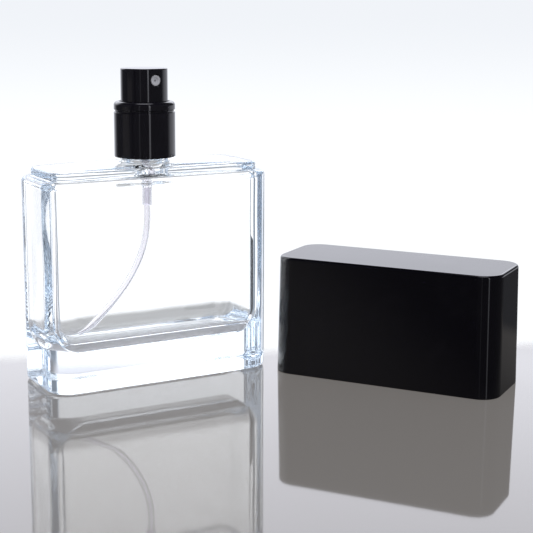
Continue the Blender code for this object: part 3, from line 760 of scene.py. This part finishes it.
core = {"socket": 1.51, "socketTop": 86.3, "boss": 2.6, "bossLow": 82.4, "web": 85.6, "wall": 0.9,
        "pocket": 1.63, "pocketFrom": 3.7, "pocketTo": 8.0}


def makeCore():
    r, low, top = span("actuator_core")
    c = core
    inner = r - c["wall"]
    corners = [(0, c["socketTop"]), (c["socket"], c["socketTop"], 0.1), (c["socket"], c["bossLow"], 0.2),
               (c["boss"], c["bossLow"], 0.2), (c["boss"], c["web"], 0.2), (inner, c["web"], 0.3),
               (inner, low, 0.1), (r, low, 0.15), (r, top, 0.4), (0, top)]
    body = lathe("buttonCore", corners, "spray_button", "black_plastic", ["actuator_core"], steps=4)
    cutBy(body, bar("pocketBar", [(0, c["pocketFrom"]), (c["pocket"], c["pocketFrom"]),
                                  (c["pocket"], c["pocketTo"]), (0, c["pocketTo"])]))
    return body


buttonCore = makeCore()


nozzle = {"radius": 1.55, "front": 6.65, "long": 2.6, "hole": 0.25, "holeDeep": 0.35, "dish": 0.62,
          "dishDeep": 0.3, "rim": 1.0, "rimDeep": 0.02, "lead": 0.2}


def makeNozzle():
    # dished face with a raised rim and the fine spray hole in its middle
    n = nozzle
    front, hole, r, back = n["front"], n["hole"], n["radius"], n["front"] - n["long"]
    corners = [(hole, front - n["holeDeep"], 0.05), (n["dish"], front - n["dishDeep"], 0.1),
               (n["rim"], front - n["rimDeep"], 0.12), (r, front, 0.14), (r, back, 0.1),
               (hole + n["lead"], back, 0.1), (hole, back + n["lead"])]
    return lathe("nozzleFace", corners, "spray_button", "white_plastic", ["nozzle_insert"], sides=72,
                 place=facing(button["nozzleZ"]), steps=5)


nozzleFace = makeNozzle()
dress(blackLacquer, buttonShell)
dress(blackSatin, buttonCore, retainerSleeve)
dress(nozzleGrey, nozzleFace)

print("cap")

cap = {"width": 70.1, "depth": 27.3, "corner": 6.07, "draft": 0.0146, "wall": 1.7, "topWall": 2.0,
       "edge": 0.8, "rim": 0.3, "leastCorner": 0.8, "middle": 12.2, "turn": -55.75,
       "sleeve": 10.3, "sleeveBore": 9.2, "plate": 1.6, "plateMiddle": 12.0, "gap": 0.25}


def capPlace(rings):
    # turned about Z to the way the cap stands, at the middle of its own box
    low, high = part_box("cap_shell")
    turn = math.radians(cap["turn"])
    x, y, z = rings[..., 0], rings[..., 1], rings[..., 2]
    return np.stack([x * math.cos(turn) - y * math.sin(turn) + (low.x + high.x) / 2 / mm,
                     x * math.sin(turn) + y * math.cos(turn) + (low.y + high.y) / 2 / mm, z], -1)


def capRows(profile, columns):
    # rounded rectangles taken in by the draft and by each row's inset
    inset, z = profile.T
    taken = 2 * (cap["draft"] * z + inset)
    return boxRings(cap["width"] - taken, cap["depth"] - taken,
                    np.maximum(cap["corner"] - inset, cap["leastCorner"]), z, columns)


def makeCap():
    c = cap
    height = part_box("cap_shell")[1].z / mm
    ceiling = height - c["topWall"]
    profile = roundOff([(c["middle"], ceiling), (c["wall"], ceiling, 0.8),
                        (c["wall"], 0.0, c["rim"]), (0.0, 0.0, c["rim"]), (0.0, height, c["edge"]),
                        (c["middle"], height)], spacing=2.0)
    rings = capRows(profile, outline())
    return skin("capBox", capPlace(rings), "cap", ["cap_shell"], sharp=60)


def makeSocket():
    c = cap
    low, high = (corner.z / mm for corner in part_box("cap_insert"))
    plateLow = high - c["plate"]
    inset = c["wall"] + c["gap"]
    columns = outline(10, 28, 10)
    plate = capRows(roundOff([(c["plateMiddle"], high), (inset, high, 0.2), (inset, plateLow, 0.2),
                              (inset + 1.0, plateLow)], steps=4), columns)
    sleeve = roundOff([(c["sleeve"] + 0.6, plateLow), (c["sleeve"], plateLow, 0.4),
                       (c["sleeve"], low, 0.2), (c["sleeveBore"], low, 0.4),
                       (c["sleeveBore"], plateLow, 0.3), (0.6, plateLow)], steps=5)
    sleeve = circleRings(sleeve[:, 0], sleeve[:, 1], plate[-1])
    link = between(plate[-1], sleeve[0], 6, lambda share: share)
    rings = np.concatenate([plate, link, sleeve])
    return skin("capSocket", capPlace(rings), "cap", ["cap_insert"], sharp=60)


capBox, capSocket = makeCap(), makeSocket()
dress(capGloss, capBox)
dress(blackSatin, capSocket)

print("floor, light and camera")

camera = {"place": (-0.164159, -0.359422, 0.111542), "azimuth": 29.78, "tilt": 78.637, "roll": 0.252,
          "lens": 90.21, "sensor": 36, "near": 0.01, "far": 10}
# the table's haze colour is the floor's painted glow, and its through colour is the paler painted glow that
# shows through glass
table = {"reach": 1.5, "drop": 0.00005, "grey": (0.05, 0.05, 0.05, 1), "rough": 0.04, "index": 1.5,
         "haze": (0.139, 0.129, 0.121, 1), "through": (0.34, 0.335, 0.355, 1),
         "mirrorFrom": -0.098, "mirrorTo": -0.035, "mirrorLeast": 0.12,
         "edgeAt": (0.0439, 0.0017), "edgeAlong": -22.8, "edgeSoft": 0.008}
# directions are in degrees from the camera's own: sideways ones as start, full, fade and end
studio = {"horizon": (1.03, 1.05, 1.07, 1), "sky": (0.879, 0.905, 0.947, 1), "skyFrom": -6.5, "skyTo": -0.3,
          "glow": 1.10, "glowRise": 0.22, "glowTop": 1.15, "overheadLoss": 0.93,
          "lowWindow": (-64, -30, 8, 20), "highWindow": (-75, -45, 20, 38),
          "softbox": 0.85, "softboxAt": (8, 20, 58, 82), "lamp": 3.0,
          "strip": 2.5, "stripAt": (151.6, 153.2, 157.4, 159.0),
          "faint": 0.45, "faintAt": (-168.6, -167.4, -165.2, -164.0),
          "dark": 0.08, "paler": 0.04, "palerAt": (-134, -128, -115, -90),
          "darker": 0.06, "darkerAt": (-150, -140, -138, -131),
          "clear": 1.35, "clearLoss": 0.6, "flag": 0.32, "below": 0.48,
          "flagsAt": ((19, 27, 42, 50), (-56, -49, -41, -36), (-150, -135, -105, -88)),
          "sheetTint": (0.975, 0.99, 1.085, 1), "clearTint": (1, 1, 1.02, 1),
          "flagTint": (0.88, 1, 1.18, 1), "softTint": (0.98, 0.99, 1.04, 1), "soft": 0.8}


def makeFloor():
    # one big plate: glossy grey near the camera, fading out to the white backdrop past the far edge
    mesh = bpy.data.meshes.new("floor")
    reach = table["reach"]
    corners = [(-reach, -reach, 0), (reach, -reach, 0), (reach, reach, 0), (-reach, reach, 0)]
    mesh.from_pydata(corners, [], [(0, 1, 2, 3)])
    floor = bpy.data.objects.new("floor", mesh)
    floor.location.z = -table["drop"]
    scene.collection.objects.link(floor)
    material = bpy.data.materials.new("tableTop")
    material.use_nodes = True
    shade = Shade(material.node_tree)
    turn = math.radians(table["edgeAlong"])
    place = shade.add("TexCoord", output="Object")
    past = shade.add("VectorMath", {"operation": "DOT_PRODUCT"}, output="Value", i0=place,
                     i1=(-math.sin(turn), math.cos(turn), 0))
    edge = -math.sin(turn) * table["edgeAt"][0] + math.cos(turn) * table["edgeAt"][1]
    fade = shade.step(past, edge - table["edgeSoft"], edge + table["edgeSoft"])
    # it glows, a painted light in place of being lit, which leaves it almost without shadow: rays reach it
    # straight, mirrored (the painted glow dimmer away from the bottle) or through glass (a paler painted
    # glow)
    mirrored, through = (shade.add("LightPath", output=kind)
                         for kind in ("Is Glossy Ray", "Is Transmission Ray"))
    depth = shade.add("SeparateXYZ", output="Y", Vector=place)
    dim = mirrored * (1 - shade.step(depth, table["mirrorFrom"], table["mirrorTo"],
                                     table["mirrorLeast"], 1.0))
    glowing = shade.mix(dim, table["haze"], (0, 0, 0, 1))
    glowing = shade.mix(through, glowing, table["through"])
    plate = shade.add("BsdfPrincipled", Base_Color=table["grey"], Roughness=table["rough"],
                      IOR=table["index"], Emission_Color=glowing, Emission_Strength=1.0)
    clear = shade.add("BsdfTransparent")
    shade.add("OutputMaterial", Surface=shade.add("MixShader", i0=fade, i1=plate, i2=clear))
    dress(material, floor)
    return floor


makeFloor()


def makeStudio():
    # light by direction: a white backdrop behind the object, brighter overhead, and a dim room
    world = bpy.data.worlds.new("studio")
    world.use_nodes = True
    scene.world = world
    shade = Shade(world.node_tree)
    way = shade.add("TexCoord", output="Generated")
    azimuth = math.radians(camera["azimuth"])

    def along(direction):
        return shade.add("VectorMath", {"operation": "DOT_PRODUCT"}, output="Value", i0=way, i1=direction)

    ahead = along((math.sin(azimuth), math.cos(azimuth), 0))
    right = along((math.cos(azimuth), -math.sin(azimuth), 0))
    up = along((0, 0, 1))
    side = right.math("ARCTAN2", right, ahead) * math.degrees(1)
    height = up.math("ARCSINE", up) * math.degrees(1)
    rays = shade.add("LightPath", output="Is Camera Ray")
    spread = shade.add("LightPath", output="Is Diffuse Ray")
    through = shade.add("LightPath", output="Is Transmission Ray")

    def lobe(value, start, full, fade, end):
        return shade.step(value, start, full) * (1 - shade.step(value, fade, end))

    s = studio
    backdrop = shade.mix(shade.step(height, s["skyFrom"], s["skyTo"]), s["horizon"], s["sky"])
    backdrop.socket.node.clamp_result = False

    # mirrored: a backdrop that widens upwards, a softbox on the right, a tall strip by the camera
    glow = (s["glow"] + shade.step(height, 0, 11) * s["glowRise"]
            + shade.step(height, 12, 15.5) * s["glowTop"])
    overhead = 1 - shade.step(height, 28, 45) * s["overheadLoss"]
    lowZone = 1 - shade.step(height, -2, 8)
    low, wide = lobe(side, *s["lowWindow"]), lobe(side, *s["highWindow"])
    window = lowZone * low + (1 - lowZone) * wide
    softbox = lobe(side, *s["softboxAt"]) * shade.step(height, -10, -7) * lowZone * s["softbox"]
    strips = lobe(side, *s["stripAt"]) * s["strip"] + lobe(side, *s["faintAt"]) * s["faint"]
    room = s["dark"] + lobe(side, *s["palerAt"]) * s["paler"] - lobe(side, *s["darkerAt"]) * s["darker"]
    lamp = shade.step(height, 70, 78) * s["lamp"]
    mirrored = (room + window * (glow - room) + softbox + strips) * overhead + lamp

    # seen through glass: bright all round but for three dark flags, and grey underneath
    bright = s["clear"] + shade.step(height, 6, 15) * (1 - shade.step(height, 45, 70) * s["clearLoss"])
    nearRight, nearLeft, farLeft = (lobe(side, *at) for at in s["flagsAt"])
    flag = (nearRight + nearLeft + farLeft) * (1 - shade.step(height, 24, 36))
    below = 1 - shade.step(height, -26, -18)
    clear = bright - flag * (bright - s["flag"])
    clear = clear - below * (clear - s["below"])

    light = mirrored + through * (clear - mirrored)
    tint = shade.mix(through, s["sheetTint"], shade.mix(flag, s["clearTint"], s["flagTint"]))
    tint.socket.node.clamp_result = False
    sheet = shade.add("Background", Color=tint, Strength=light)
    seen = shade.add("Background", Color=backdrop, Strength=1.0)
    soft = shade.add("Background", Color=s["softTint"], Strength=s["soft"])
    lit = shade.add("MixShader", i0=spread, i1=sheet, i2=soft)
    shade.add("OutputWorld", Surface=shade.add("MixShader", i0=rays, i1=lit, i2=seen))


makeStudio()


def makeCamera():
    data = bpy.data.cameras.new("camera")
    data.lens, data.sensor_width = camera["lens"], camera["sensor"]
    data.clip_start, data.clip_end = camera["near"], camera["far"]
    view = bpy.data.objects.new("camera", data)
    scene.collection.objects.link(view)
    view.matrix_world = (Matrix.Translation(camera["place"])
                         @ Matrix.Rotation(math.radians(-camera["azimuth"]), 4, "Z")
                         @ Matrix.Rotation(math.radians(camera["tilt"]), 4, "X")
                         @ Matrix.Rotation(math.radians(camera["roll"]), 4, "Z"))
    scene.camera = view


makeCamera()
scene.view_settings.view_transform = "Standard"
# thick glass passes light on inside its walls many times over
scene.cycles.max_bounces = scene.cycles.transmission_bounces = scene.cycles.glossy_bounces = 64
